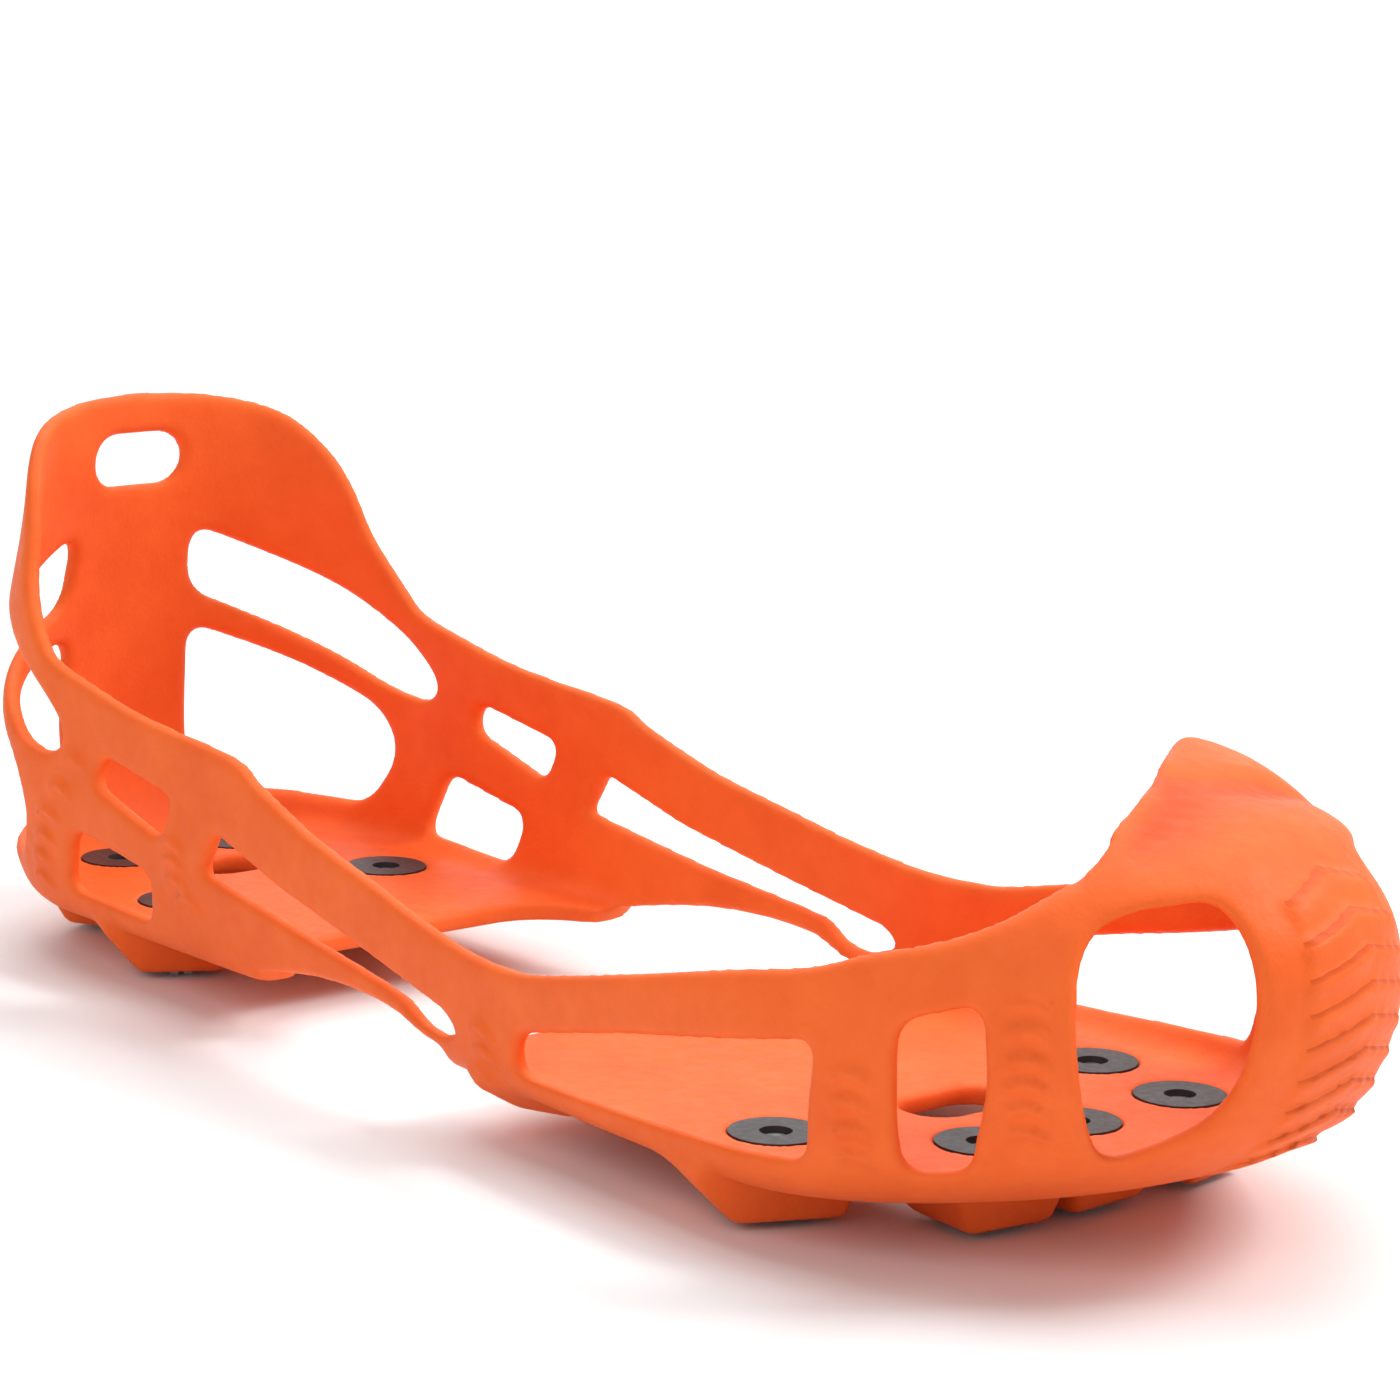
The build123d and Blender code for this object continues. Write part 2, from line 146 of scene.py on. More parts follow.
def smooth_step(a, b, value):
    u = np.clip((value - a) / (b - a), 0, 1)
    return u * u * (3 - 2 * u)


def polygon_distance(points, x, y):
    """Signed distance to a polygon, negative inside."""
    points = np.asarray(points, float)
    best = np.full(x.shape, 1e9)
    inside = np.zeros(x.shape, bool)
    for (ax, ay), (bx, by) in zip(points, np.roll(points, -1, axis=0)):
        ex, ey = bx - ax, by - ay
        along = np.clip(((x - ax) * ex + (y - ay) * ey) / (ex * ex + ey * ey), 0, 1)
        best = np.minimum(best, (x - ax - along * ex) ** 2 + (y - ay - along * ey) ** 2)
        crosses = (ay > y) != (by > y)
        if ey:
            inside ^= crosses & (x < ax + (y - ay) / ey * ex)
    return np.where(inside, -1, 1) * np.sqrt(best)


def softened(points, reach, steps=7):
    """A polygon with each corner turned into a curve that starts up to reach from the corner."""
    points = np.asarray(points, float)
    u = np.linspace(0, 1, steps)[:, None]
    parts = []
    for before, corner, after in zip(np.roll(points, 1, axis=0), points, np.roll(points, -1, axis=0)):
        ends = []
        for other in (before, after):
            length = np.linalg.norm(other - corner)
            ends.append(corner + (other - corner) / length * min(reach, 0.48 * length))
        parts.append((1 - u) ** 2 * ends[0] + 2 * u * (1 - u) * corner + u**2 * ends[1])
    return np.vstack(parts)


def curve_through(points, steps=8):
    """Points of a smooth curve through the given ones."""
    points = np.asarray(points, float)
    padded = np.vstack([2 * points[0] - points[1], points, 2 * points[-1] - points[-2]])
    u = np.linspace(0, 1, steps, endpoint=False)[:, None]
    parts = []
    for p0, p1, p2, p3 in zip(padded, padded[1:], padded[2:], padded[3:]):
        parts.append(0.5 * (2 * p1 + (p2 - p0) * u + (2 * p0 - 5 * p1 + 4 * p2 - p3) * u**2
                            + (3 * p1 - p0 - 3 * p2 + p3) * u**3))
    return np.vstack([*parts, points[-1:]])


class Chart:
    """A field on a plane, worked out once on a fine grid and looked up at many places."""

    def __init__(self, function, low, high, step=0.4):
        self.low, self.step = np.array(low, float), step
        axes = [np.arange(a, b + step, step) for a, b in zip(low, high)]
        self.values = function(*np.meshgrid(*axes, indexing="ij")).astype(np.float32)

    def __call__(self, a, b):
        rows, columns = self.values.shape
        a = np.clip((a - self.low[0]) / self.step, 0, rows - 1.001)
        b = np.clip((b - self.low[1]) / self.step, 0, columns - 1.001)
        i, j = a.astype(np.int32), b.astype(np.int32)
        a, b = a - i, b - j
        v = self.values
        return ((1 - a) * ((1 - b) * v[i, j] + b * v[i, j + 1])
                + a * ((1 - b) * v[i + 1, j] + b * v[i + 1, j + 1])).astype(np.float32)


# ---------------------------------------------------------------- the outline
def sizes_at(z):
    """The five outline sizes at heights z, by a smooth curve through SECTIONS."""
    heights = SECTIONS[:, 0]
    z = np.clip(z, heights[0], heights[-1])
    i = np.clip(np.searchsorted(heights, z) - 1, 0, len(heights) - 2)
    low = np.maximum(np.arange(len(heights)) - 1, 0)
    high = np.minimum(np.arange(len(heights)) + 1, len(heights) - 1)
    slopes = (SECTIONS[high] - SECTIONS[low]) / (heights[high] - heights[low])[:, None]
    span = (heights[i + 1] - heights[i])
    u = (z - heights[i]) / span
    return [(2 * u**3 - 3 * u**2 + 1) * SECTIONS[i, c] + (3 * u**2 - 2 * u**3) * SECTIONS[i + 1, c]
            + span * ((u**3 - 2 * u**2 + u) * slopes[i, c] + (u**3 - u**2) * slopes[i + 1, c])
            for c in range(1, 6)]


def half_outline(sizes, t):
    """x and y on the left half of an outline: t 0-1 heel, 1-2 side, 2-3 toe."""
    back, heel, waist, ball, tip = sizes
    toe_centre = min(TOE_CENTRE, tip - 25.0)
    heel_angle = np.clip(t, 0, 1) * math.pi / 2
    toe_angle = np.clip(3 - t, 0, 1) * math.pi / 2
    u = np.clip(t - 1, 0, 1)
    at_waist = (WAIST_X - HEEL_CENTRE) / (TOE_CENTRE - HEEL_CENTRE)
    bow = waist - heel - (ball - heel) * at_waist**2 * (3 - 2 * at_waist)
    side_y = heel + (ball - heel) * u**2 * (3 - 2 * u) + bow * np.sin(math.pi * u) ** 2
    heel_x = HEEL_CENTRE - (HEEL_CENTRE - back) * np.abs(np.cos(heel_angle)) ** (2 / HEEL_POWER)
    heel_y = heel * np.sin(heel_angle) ** (2 / HEEL_POWER)
    toe_x = toe_centre + (tip - toe_centre) * np.maximum(np.cos(toe_angle), 0) ** (2 / TOE_POWER)
    toe_y = ball * np.sin(toe_angle) ** (2 / TOE_POWER)
    side_x = HEEL_CENTRE + (toe_centre - HEEL_CENTRE) * u
    return (np.where(t < 1, heel_x, np.where(t < 2, side_x, toe_x)),
            np.where(t < 1, heel_y, np.where(t < 2, side_y, toe_y)))


OUTLINE_T = np.linspace(0, 3, 601)
_reference = np.stack(half_outline(sizes_at(REFERENCE_HEIGHT), OUTLINE_T), 1)
WALL_LENGTH = np.concatenate([[0], np.cumsum(np.linalg.norm(np.diff(_reference, axis=0), axis=1))])
PATTERN_CENTRE = WALL_LENGTH[-1] + TOE_TWIST / 2


def ring(z):
    """A whole outline at height z, as points in order."""
    t = OUTLINE_T[::3]
    x, y = half_outline(sizes_at(z), t)
    return np.vstack([np.stack([x, y], 1), np.stack([x, -y], 1)[-2:0:-1]])


def twisted(distance):
    """Where a place in the right side's pattern lies on the left side."""
    return distance - TOE_TWIST * smooth_step(TWIST_START, TWIST_END, distance)


def distance_chart():
    """In plan, on the left half: distance round the reference outline of its nearest place."""
    outline = np.stack(half_outline(sizes_at(REFERENCE_HEIGHT), OUTLINE_T), 1)

    def field(x, y):
        nearest = np.full(x.shape, 1e9)
        place = np.zeros(x.shape)
        for start, (ax, ay), (bx, by) in zip(WALL_LENGTH, outline, outline[1:]):
            ex, ey = bx - ax, by - ay
            length = math.hypot(ex, ey)
            along = np.clip(((x - ax) * ex + (y - ay) * ey) / length, 0, length)
            gap = np.hypot(x - ax - along * ex / length, y - ay - along * ey / length)
            place = np.where(gap < nearest, start + along, place)
            nearest = np.minimum(gap, nearest)
        return place
    return Chart(field, (-155, 0), (155, 60), step=0.8)


def wall_place(x, y):
    """Signed distance round the wall from the pattern's middle at the toe, negative on the right."""
    distance = distance_chart()(*np.broadcast_arrays(x, np.abs(y)))
    pattern = np.linspace(0, 380, 761)
    left = PATTERN_CENTRE - np.interp(distance, twisted(pattern), pattern)
    return np.where(y > 0, left, distance - PATTERN_CENTRE).astype(np.float32)


# ---------------------------------------------------------------- charts of the pattern
def windows_chart():
    """Over distance round the wall and height: negative inside a window."""
    def field(distance, z):
        best = np.full(distance.shape, 50.0)
        for points, reach in WINDOWS.values():
            best = np.minimum(best, polygon_distance(softened(points, reach), distance, z))
        return best
    return Chart(field, (-5, 5), (365, 105))


def band_chart():
    """Over distance round the wall and height: positive above the side band."""
    edge = curve_through(TOP_EDGE)
    closed = np.vstack([edge, [(380, -50), (-20, -50)]])
    return Chart(lambda s, z: polygon_distance(closed, s, z), (-5, 5), (365, 105))


def flap_chart():
    """In plan: positive behind the toe flap."""
    edge = curve_through(FLAP_EDGE)
    closed = np.vstack([edge, [(260, 79), (260, -84)]])
    return Chart(lambda x, y: polygon_distance(closed, x, y), (-10, -60), (155, 60))


def relief_chart():
    """Over signed distance from the toe pattern's middle and height: how far the surface stands out."""
    def field(u, z):
        crease = CREASE_TOP - CREASE_DROP * ((u - CREASE_MIDDLE) / CREASE_HALF) ** 2
        relief = LIP_RELIEF * np.exp(-((z - crease + 3.4) / 2.6) ** 2)
        relief -= FLAP_THINNER * smooth_step(crease - 0.7, crease + 0.7, z)
        relief -= VALLEY_RELIEF * np.exp(-((z - crease - 1.6) / 2.0) ** 2)
        near_middle = smooth_step(CREASE_HALF + 2, CREASE_HALF - 12, np.abs(u - CREASE_MIDDLE))
        on_flap = smooth_step(64, 68, z) * smooth_step(115, 105, np.abs(u))
        relief *= np.maximum(near_middle, on_flap)
        v = z + CHEVRON_DROP * np.abs(u)
        below = (CHEVRON_TOP - v) / CHEVRON_STEP
        scale = np.minimum(1 - below % 1, (below % 1) / 0.12)
        scale = np.where((below > 0) & (below < CHEVRON_COUNT), scale, 0)
        relief += CHEVRON_RELIEF * scale * smooth_step(CHEVRON_HALF + 0.8, CHEVRON_HALF - 0.8, np.abs(u))
        distance = PATTERN_CENTRE - np.abs(u)
        ridges = np.zeros(u.shape)
        for middle, heights in CRESCENTS:
            du = distance - middle
            across = smooth_step(CRESCENT_HALF + 0.8, CRESCENT_HALF - 0.8, np.abs(du))
            for height in heights:
                ridge = smooth_step(1.3, 0.2, np.abs(z - (height - 0.13 * du**2)))
                ridges = np.maximum(ridges, ridge * across)
        relief += CRESCENT_RELIEF * ridges
        return relief
    edge = PATTERN_CENTRE + 2
    return Chart(field, (-edge, 5), (edge, 105), step=0.3)


def plan_chart(z):
    """In plan: signed distance to the outline at height z."""
    outline = ring(z)[::2]
    return Chart(lambda x, y: polygon_distance(outline, x, y), (-150, -60), (150, 60), step=1.0)


# ---------------------------------------------------------------- the harness field
def form_distance(low, shape):
    """Signed distance to the outer form, without its bottom, on the grid."""
    heights = np.arange(OUTLINE_BOTTOM, OUTLINE_TOP, 0.8)
    rings = [ring(z) for z in heights]
    count = len(rings[0])
    points = np.vstack([np.column_stack([r, np.full(count, z)]) for r, z in zip(rings, heights)])
    index = np.arange(len(points)).reshape(len(heights), count)
    ahead = np.roll(index, -1, axis=1)
    quads = np.stack([index[:-1], ahead[:-1], ahead[1:], index[1:]], -1).reshape(-1, 4)
    caps = [(-20.0, 0.0, heights[0]), (-20.0, 0.0, heights[-1])]
    points = np.vstack([points, caps])
    bottom, top = len(points) - 2, len(points) - 1
    triangles = np.vstack([
        np.column_stack([ahead[0], index[0], np.full(count, bottom)]),
        np.column_stack([index[-1], ahead[-1], np.full(count, top)]),
    ])
    transform = openvdb.createLinearTransform(voxelSize=CELL)
    band = 9.0 / CELL
    grid = openvdb.FloatGrid.createLevelSetFromPolygons(
        points.astype(np.float32), triangles=triangles.astype(np.uint32), quads=quads.astype(np.uint32),
        transform=transform, halfWidth=band)
    values = np.zeros(shape, np.float32)
    grid.copyToArray(values, ijk=tuple(int(v) for v in low))
    return values


def lug_distance(x, y, z, place, face, clip):
    """A faceted lug: a square ground face with longer slopes towards the heel and the nearer side."""
    cx, cy, turn, half, rear_ramp, outer_ramp = place
    turn = math.radians(turn)
    along = (x - cx) * math.cos(turn) + (y - cy) * math.sin(turn)
    across = -(x - cx) * math.sin(turn) + (y - cy) * math.cos(turn)
    height = SOLE_UNDER + 0.8 - face
    level = (z - face) / height

    def slope(offset, flare):
        return (offset - half - flare * level) * height / math.hypot(flare, height)

    body = smooth_max(slope(along, LUG_FLARE), slope(-along, LUG_FLARE + rear_ramp), EDGE)
    for side in (1, -1):
        flare = LUG_FLARE + (outer_ramp if side * cy > 0 else 0)
        body = smooth_max(body, slope(side * across, flare), EDGE)
    body = smooth_max(body, face - z, EDGE)
    return smooth_max(np.maximum(body, z - SOLE_TOP + 1), clip, EDGE)


def cylinder_distance(x, y, z, centre, radius, bottom, top):
    radial = np.hypot(x - centre[0], y - centre[1]) - radius
    return np.maximum(radial, np.maximum(bottom - z, z - top))


def rounded_box_distance(x, y, centre, half, radius):
    dx = np.abs(x - centre[0]) - (half[0] - radius)
    dy = np.abs(y - centre[1]) - (half[1] - radius)
    return np.hypot(np.maximum(dx, 0), np.maximum(dy, 0)) + np.minimum(np.maximum(dx, dy), 0) - radius


def harness_field():
    """The harness as a signed distance on a grid, with the grid's lowest cell."""
    low = np.floor(np.array([-153.0, -58.0, -1.0]) / CELL).astype(int)
    high = np.ceil(np.array([153.0, 58.0, 98.0]) / CELL).astype(int)
    shape = tuple(high - low)
    axes = [(np.arange(n) + start).astype(np.float32) * np.float32(CELL) for n, start in zip(shape, low)]
    x, y, z = (a.reshape(s) for a, s in zip(axes, [(-1, 1, 1), (1, -1, 1), (1, 1, -1)]))
    form = form_distance(low, shape)

    place = wall_place(x, y) + 0 * z
    distance = PATTERN_CENTRE - np.abs(place)
    relief = relief_chart()(place, z + 0 * place)
    opening = -windows_chart()(distance, z + 0 * place)

    band = band_chart()(distance, z + 0 * place)
    flap = flap_chart()(*np.broadcast_arrays(x, y))
    trim = smooth_min(band, flap + 0 * z, 2.0)
    width, height, middle = FINGER_SLOT
    run = np.maximum(np.abs(y) - (width - height) / 2, 0)
    slot = height / 2 - np.hypot(run, z - middle) - np.maximum(x + 120, 0)

    outer = smooth_max(form - relief, SOLE_UNDER - z, 3.0)
    cavity = smooth_max(form + WALL + 0.7 * np.maximum(-relief, 0), SOLE_TOP - z, 3.0)
    shell = smooth_max(outer, -cavity, 0.8)
    shell = smooth_max(shell, smooth_max(opening, np.maximum(trim, slot), 0.6), 2.2)

    relief_line = curve_through(ARCH_RELIEF)
    under = np.interp(x, relief_line[:, 0], relief_line[:, 1]) - z
    shell = smooth_max(shell, under * 0.95, 1.6)
    (rear, front), half, radius = ARCH_HOLE
    holes = [(((rear + front) / 2, 0), ((front - rear) / 2, half), radius)]
    holes += [(centre, (length / 2, width / 2), min(length, width) / 2 - 0.5)
              for centre, (length, width) in SOLE_HOLES]
    for centre, halves, radius in holes:
        hole = -rounded_box_distance(x, y, centre, halves, radius)
        shell = smooth_max(shell, np.minimum(hole, SOLE_TOP + 1 - z), 1.6)

    clip = plan_chart(13.0)(*np.broadcast_arrays(x, y)) + 0 * z
    lugs = np.full(shape, 50.0, np.float32)
    for place in CLEAT_PLACES:
        lugs = np.minimum(lugs, lug_distance(x, y, z, place, LUG_FACE, clip))
    for place in LOW_LUGS:
        lugs = np.minimum(lugs, lug_distance(x, y, z, place, LOW_LUG_FACE, clip))
    body = smooth_min(shell, lugs, 1.0)

    flange_radius, flange_thick = INSERT_FLANGE
    pocket_radius, pocket_top = POCKET
    for cx, cy, *_ in CLEAT_PLACES:
        for radius, bottom, top in [(pocket_radius, -5, pocket_top),
                                    (SHANK_HOLE, -5, 20),
                                    (INSERT_BARREL, INSERT_UNDER, 20),
                                    (flange_radius, SOLE_TOP - flange_thick, 20)]:
            body = np.maximum(body, -cylinder_distance(x, y, z, (cx, cy), radius, bottom, top))
    return body.astype(np.float32), low


def surface_of(field, low):
    """Vertices (mm) and faces of the surface where a field is zero."""
    grid = openvdb.FloatGrid(5.0)
    grid.copyFromArray(np.clip(field, -5, 5), ijk=tuple(int(v) for v in low))
    grid.transform = openvdb.createLinearTransform(voxelSize=CELL)
    points, _, quads = grid.convertToPolygons(isovalue=0.0, adaptivity=0.0)
    return np.asarray(points, float), np.asarray(quads)


def field_normals(field, low, points):
    """Outward normals at points, from the field's slope."""
    slopes = np.gradient(np.clip(field, -3, 3))
    at = points / CELL - low
    i = np.clip(np.floor(at).astype(int), 0, np.array(field.shape) - 2)
    part = at - i
    normals = np.zeros((len(points), 3))
    for corner in np.ndindex(2, 2, 2):
        weight = np.prod(np.where(np.array(corner), part, 1 - part), axis=1)
        where = tuple((i + corner).T)
        normals += weight[:, None] * np.stack([s[where] for s in slopes], 1)
    length = np.linalg.norm(normals, axis=1)
    return normals / np.maximum(length, 1e-9)[:, None]


def harness_piece(name, points, quads, keep_front, field, low):
    """One side of the seam, closed there by a flat face."""
    mesh = bpy.data.meshes.new(name)
    mesh.from_pydata((points * MM).tolist(), [], quads.tolist())
    build = bmesh.new()
    build.from_mesh(mesh)
    cut = bmesh.ops.bisect_plane(
        build, geom=build.verts[:] + build.edges[:] + build.faces[:], dist=1e-7,
        plane_co=(SEAM_X * MM, 0, 0), plane_no=(1, 0, 0), clear_inner=keep_front, clear_outer=not keep_front)
    rim = [e for e in cut["geom_cut"] if isinstance(e, bmesh.types.BMEdge) and e.is_boundary]
    filled = bmesh.ops.triangle_fill(build, use_beauty=True, edges=rim)
    cap = set(f for f in filled["geom"] if isinstance(f, bmesh.types.BMFace))
    bmesh.ops.recalc_face_normals(build, faces=build.faces[:])
    build.faces.ensure_lookup_table()
    is_cap = [f in cap for f in build.faces]
    build.to_mesh(mesh)
    build.free()
    mesh.polygons.foreach_set("use_smooth", [True] * len(mesh.polygons))
    places = np.array([v.co for v in mesh.vertices], float)
    normals = field_normals(field, low, places / MM)
    loops = np.empty(len(mesh.loops), int)
    mesh.loops.foreach_get("vertex_index", loops)
    loop_normals = normals[loops]
    for polygon, capped in zip(mesh.polygons, is_cap):
        if capped:
            loop_normals[polygon.loop_start:polygon.loop_start + polygon.loop_total] = polygon.normal
    mesh.normals_split_custom_set(loop_normals.tolist())
    places = places / MM
    # the toe's inner faces get a place far from its middle, so that they show no chevrons or crease
    inside = (places[:, 0] > 60) & (np.sum(normals * (places - (60, 0, 30)), axis=1) < 0)
    place = np.where(inside, 500.0, wall_place(places[:, 0], places[:, 1])).astype(np.float32)
    around = mesh.attributes.new("around_wall", "FLOAT", "POINT")
    around.data.foreach_set("value", place)
    height = mesh.attributes.new("height", "FLOAT", "POINT")
    height.data.foreach_set("value", places[:, 2].astype(np.float32))
    piece = bpy.data.objects.new(name, mesh)
    bpy.context.scene.collection.objects.link(piece)
    return piece


# ---------------------------------------------------------------- materials
def new_material(name):
    material = bpy.data.materials.new(name)
    material.use_nodes = True
    nodes, links = material.node_tree.nodes, material.node_tree.links
    return material, nodes, links, nodes["Principled BSDF"]


def noise(nodes, links, scale, detail=3.0, roughness=0.5):
    """A noise texture fixed to the object, its scale in waves per metre."""
    place = nodes.get("place") or nodes.new("ShaderNodeTexCoord")
    place.name = "place"
    texture = nodes.new("ShaderNodeTexNoise")
    texture.inputs["Scale"].default_value = scale
    texture.inputs["Detail"].default_value = detail
    texture.inputs["Roughness"].default_value = roughness
    links.new(place.outputs["Object"], texture.inputs["Vector"])
    return texture.outputs["Fac"]


def ramp(nodes, links, source, stops):
    """A colour ramp: stops are (position, colour)."""
    node = nodes.new("ShaderNodeValToRGB")
    elements = node.color_ramp.elements
    while len(elements) < len(stops):
        elements.new(0.5)
    for element, (position, colour) in zip(elements, stops):
        element.position = position
        element.color = (*colour, 1) if len(colour) == 3 else colour
    links.new(source, node.inputs["Fac"])
    return node.outputs["Color"]


def bump(nodes, links, height, strength, distance, below=None):
    node = nodes.new("ShaderNodeBump")
    node.inputs["Strength"].default_value = strength
    node.inputs["Distance"].default_value = distance
    links.new(height, node.inputs["Height"])
    if below is not None:
        links.new(below, node.inputs["Normal"])
    return node.outputs["Normal"]


def math_node(nodes, links, operation, *inputs):
    """A math node's output: inputs are sockets or numbers."""
    node = nodes.new("ShaderNodeMath")
    node.operation = operation
    for socket, value in zip(node.inputs, inputs):
        if isinstance(value, (int, float)):
            socket.default_value = value
        else:
            links.new(value, socket)
    return node.outputs[0]


def wall_attributes(nodes):
    """Sockets with a place's signed distance round the toe and its height, in mm."""
    read = []
    for name in ("around_wall", "height"):
        node = nodes.new("ShaderNodeAttribute")
        node.attribute_name = name
        read.append(node.outputs["Fac"])
    return read


def chevron_edges(nodes, links):
    """The sharp upper edges of the toe's chevrons, 0 to 1, for their bump and their painted shade."""
    read = wall_attributes(nodes)
    aside = math_node(nodes, links, "ABSOLUTE", read[0])
    level = math_node(nodes, links, "MULTIPLY_ADD", aside, CHEVRON_DROP, read[1])
    drop = math_node(nodes, links, "SUBTRACT", CHEVRON_TOP, level)
    below = math_node(nodes, links, "DIVIDE", drop, CHEVRON_STEP)
    part = math_node(nodes, links, "FRACT", below)
    edge = math_node(nodes, links, "MAXIMUM", math_node(nodes, links, "MULTIPLY_ADD", part, -7.0, 1.0), 0.0)
    for inside in (math_node(nodes, links, "GREATER_THAN", below, 0.0),
                   math_node(nodes, links, "LESS_THAN", below, float(CHEVRON_COUNT)),
                   math_node(nodes, links, "LESS_THAN", aside, CHEVRON_HALF)):
        edge = math_node(nodes, links, "MULTIPLY", edge, inside)
    return edge


def crease_shade(nodes, links):
    """Painted shade along the groove between toe flap and bumper, 0 to 1."""
    read = wall_attributes(nodes)
    aside = math_node(nodes, links, "SUBTRACT", read[0], CREASE_MIDDLE)
    part = math_node(nodes, links, "DIVIDE", aside, CREASE_HALF)
    square = math_node(nodes, links, "MULTIPLY", part, part)
    crease = math_node(nodes, links, "MULTIPLY_ADD", square, -CREASE_DROP, CREASE_TOP)
    above = math_node(nodes, links, "SUBTRACT", math_node(nodes, links, "SUBTRACT", read[1], crease), 1.0)
    near = math_node(nodes, links, "MULTIPLY_ADD", math_node(nodes, links, "ABSOLUTE", above), -0.4, 1.0)
    near = math_node(nodes, links, "MAXIMUM", near, 0.0)
    fade = math_node(nodes, links, "MULTIPLY_ADD", square, -2.4, 2.4)
    fade = math_node(nodes, links, "MAXIMUM", fade, 0.0)
    fade = math_node(nodes, links, "MINIMUM", fade, 1.0)
    return math_node(nodes, links, "MULTIPLY", near, fade)


def elastomer_material():
    material, nodes, links, shader = new_material("elastomer_orange")
    mottle = noise(nodes, links, 90.0, 5.0, 0.6)
    colour = ramp(nodes, links, mottle, [(0.3, (0.87, 0.122, 0.016)), (0.7, (0.95, 0.152, 0.024))])
    edges = chevron_edges(nodes, links)
    # painted shade: the chevrons' edges and the crease between flap and bumper are darkened towards a deep
    # orange, standing in for the shadow in these grooves
    painted_groove_shade = math_node(nodes, links, "MAXIMUM", math_node(nodes, links, "MULTIPLY", edges, 0.45),
                     math_node(nodes, links, "MULTIPLY", crease_shade(nodes, links), 0.55))
    mix = nodes.new("ShaderNodeMix")
    mix.data_type = "RGBA"
    links.new(painted_groove_shade, mix.inputs[0])
    links.new(colour, mix.inputs[6])
    # the deep orange of the painted shade in the chevrons and the crease
    mix.inputs[7].default_value = (0.52, 0.042, 0.008, 1)
    links.new(mix.outputs[2], shader.inputs["Base Color"])
    rough = ramp(nodes, links, noise(nodes, links, 420.0), [(0.3, (0.50,) * 3), (0.7, (0.62,) * 3)])
    links.new(rough, shader.inputs["Roughness"])
    shader.inputs["Specular IOR Level"].default_value = 0.22
    coarse = bump(nodes, links, noise(nodes, links, 260.0, 3.0), 0.25, 0.0006)
    fine = bump(nodes, links, noise(nodes, links, 1500.0, 2.0), 0.35, 0.0002, below=coarse)
    crisp = bump(nodes, links, edges, 0.5, 0.0006, below=fine)
    links.new(crisp, shader.inputs["Normal"])
    return material


def steel_material():
    material, nodes, links, shader = new_material("cleat_steel")
    tone = ramp(nodes, links, noise(nodes, links, 700.0, 4.0),
                [(0.3, (0.42, 0.43, 0.45)), (0.7, (0.60, 0.61, 0.62))])
    links.new(tone, shader.inputs["Base Color"])
    shader.inputs["Metallic"].default_value = 1.0
    rough = ramp(nodes, links, noise(nodes, links, 1300.0), [(0.3, (0.28,) * 3), (0.7, (0.42,) * 3)])
    links.new(rough, shader.inputs["Roughness"])
    links.new(bump(nodes, links, noise(nodes, links, 2500.0, 2.0), 0.2, 0.0001), shader.inputs["Normal"])
    return material


def insert_material():
    material, nodes, links, shader = new_material("insert_plastic")
    tone = ramp(nodes, links, noise(nodes, links, 300.0, 4.0),
                [(0.3, (0.020, 0.020, 0.022)), (0.7, (0.034, 0.034, 0.036))])
    links.new(tone, shader.inputs["Base Color"])
    rough = ramp(nodes, links, noise(nodes, links, 900.0), [(0.3, (0.45,) * 3), (0.7, (0.58,) * 3)])
    links.new(rough, shader.inputs["Roughness"])
    links.new(bump(nodes, links, noise(nodes, links, 1800.0, 2.0), 0.25, 0.0001), shader.inputs["Normal"])
    return material


def studio_material():
    material, nodes, links, shader = new_material("studio_floor")
    tones = [(0.3, (0.86, 0.885, 0.89)), (0.7, (0.88, 0.90, 0.905))]
    tone = ramp(nodes, links, noise(nodes, links, 3.0), tones)
    links.new(tone, shader.inputs["Base Color"])
    shader.inputs["Roughness"].default_value = 0.7
    shader.inputs["Specular IOR Level"].default_value = 0.2
    return material


# ---------------------------------------------------------------- camera and studio
CAMERA_PLACE = (0.55817, -0.46928, 0.20402)
CAMERA_AIM = (0.0089, 0.00557, 0.06107)
CAMERA_LENS, CAMERA_ROLL = 121.463, math.radians(1.354)


def make_camera():
    data = bpy.data.cameras.new("camera")
    data.lens = CAMERA_LENS
    data.sensor_width = 36.0
    data.clip_start, data.clip_end = 0.01, 50.0
    camera = bpy.data.objects.new("camera", data)
    bpy.context.scene.collection.objects.link(camera)
    ahead = (Vector(CAMERA_AIM) - Vector(CAMERA_PLACE)).normalized()
    level_right = ahead.cross(Vector((0, 0, 1))).normalized()
    level_up = level_right.cross(ahead)
    right = math.cos(CAMERA_ROLL) * level_right + math.sin(CAMERA_ROLL) * level_up
    up = math.cos(CAMERA_ROLL) * level_up - math.sin(CAMERA_ROLL) * level_right
    turn = Matrix((right, up, -ahead)).transposed().to_4x4()
    camera.matrix_world = Matrix.Translation(CAMERA_PLACE) @ turn
    bpy.context.scene.camera = camera


def area_light(name, place, aim, size, power):
    data = bpy.data.lights.new(name, "AREA")
    data.shape = "RECTANGLE"
    data.size, data.size_y = size
    data.energy = power
    light = bpy.data.objects.new(name, data)
    light.location = place
    light.rotation_euler = (Vector(aim) - Vector(place)).to_track_quat("-Z", "Y").to_euler()
    bpy.context.scene.collection.objects.link(light)


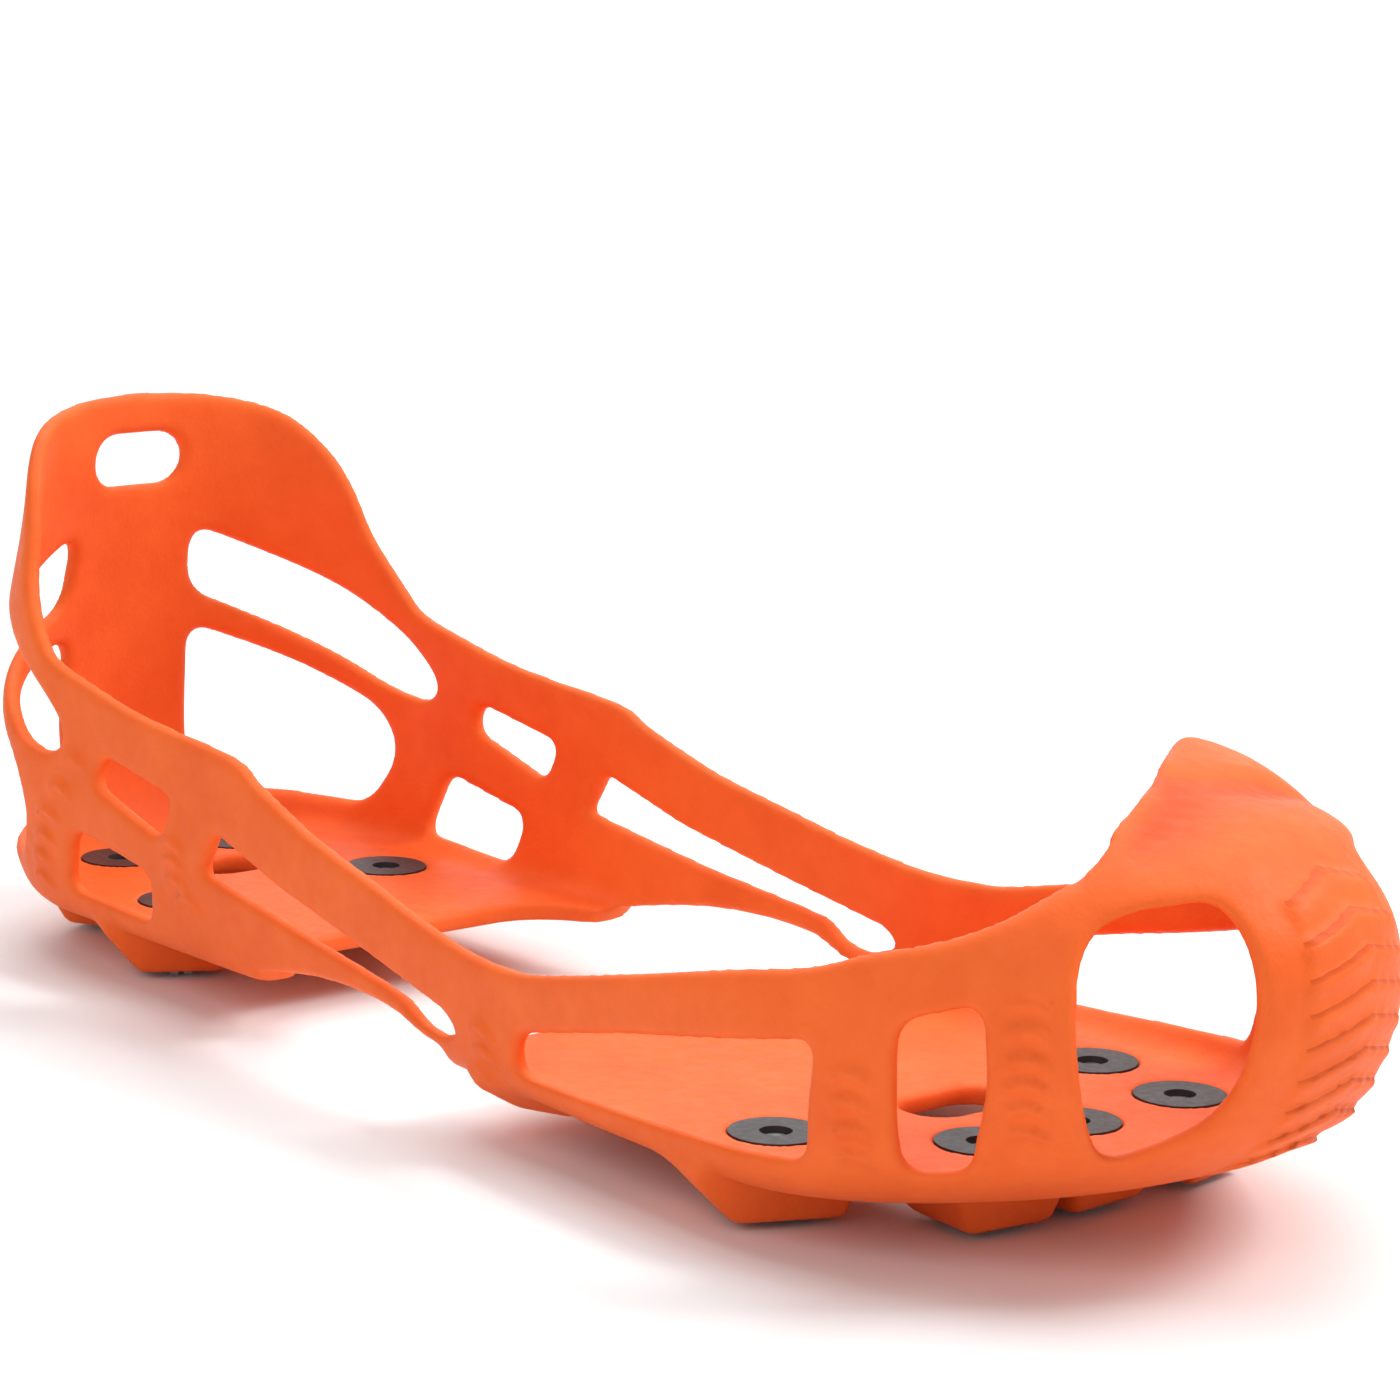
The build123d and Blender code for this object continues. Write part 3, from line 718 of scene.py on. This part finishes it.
def make_studio():
    """A pale floor that sweeps up far behind, a bright room and soft lights."""
    reach, bend, rise = 6.0, 1.5, 5.0
    away = Vector((-CAMERA_PLACE[0] + CAMERA_AIM[0], -CAMERA_PLACE[1] + CAMERA_AIM[1], 0)).normalized()
    across = Vector((away.y, -away.x, 0))
    profile = [(-reach, 0.0)] + [
        (3.0 + bend * math.sin(a), bend * (1 - math.cos(a))) for a in np.linspace(0, math.pi / 2, 17)]
    profile.append((3.0 + bend, rise))
    build = bmesh.new()
    rows = [[build.verts.new(away * d + across * side * reach + Vector((0, 0, h))) for side in (-1, 1)]
            for d, h in profile]
    for (a, b), (c, d) in zip(rows, rows[1:]):
        build.faces.new((a, b, d, c)).smooth = True
    bmesh.ops.recalc_face_normals(build, faces=build.faces[:])
    mesh = bpy.data.meshes.new("studio_floor")
    build.to_mesh(mesh)
    build.free()
    floor = bpy.data.objects.new("studio_floor", mesh)
    floor.data.materials.append(studio_material())
    bpy.context.scene.collection.objects.link(floor)

    world = bpy.data.worlds.new("studio")
    world.use_nodes = True
    world.node_tree.nodes["Background"].inputs["Color"].default_value = (1.0, 1.0, 1.0, 1)
    world.node_tree.nodes["Background"].inputs["Strength"].default_value = 0.38
    bpy.context.scene.world = world
    area_light("key", (0.55, 0.75, 0.95), (0.02, 0, 0.03), (0.5, 0.5), 10.0)
    area_light("front", (0.5, -1.1, 0.8), (0.0, 0, 0.03), (0.8, 0.8), 4.5)
    area_light("above", (*(away * 1.3).xy, 2.4), (*(away * 1.3).xy, 0.0), (3.2, 3.2), 62.0)
    area_light("backdrop", (*(away * 1.9).xy, 2.2), (*(away * 4.3).xy, 0.9), (2.5, 0.8), 90.0)


# ---------------------------------------------------------------- building
def build_harness():
    field, low = harness_field()
    points, quads = surface_of(field, low)
    rubber = elastomer_material()
    rear = harness_piece("harness_rear", points, quads, False, field, low)
    front = harness_piece("harness_front", points, quads, True, field, low)
    for piece in (rear, front):
        piece.data.materials.append(rubber)
        print(piece.name, len(piece.data.vertices), "points", len(piece.data.polygons), "faces")
    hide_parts("harness_heel", "harness_arch_straps")
    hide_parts("harness_instep", "harness_ball_web", "harness_toe")
    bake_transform(rear)
    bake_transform(front)


def dress_nodes():
    """The cleats and inserts keep their own shape and get real materials."""
    finishes = {"cleat_": steel_material(), "insert_": insert_material()}
    for name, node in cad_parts.items():
        for start, material in finishes.items():
            if name.startswith(start):
                node.data.materials.clear()
                node.data.materials.append(material)


build_harness()
dress_nodes()
make_studio()
make_camera()
bpy.context.scene.view_settings.view_transform = "Standard"
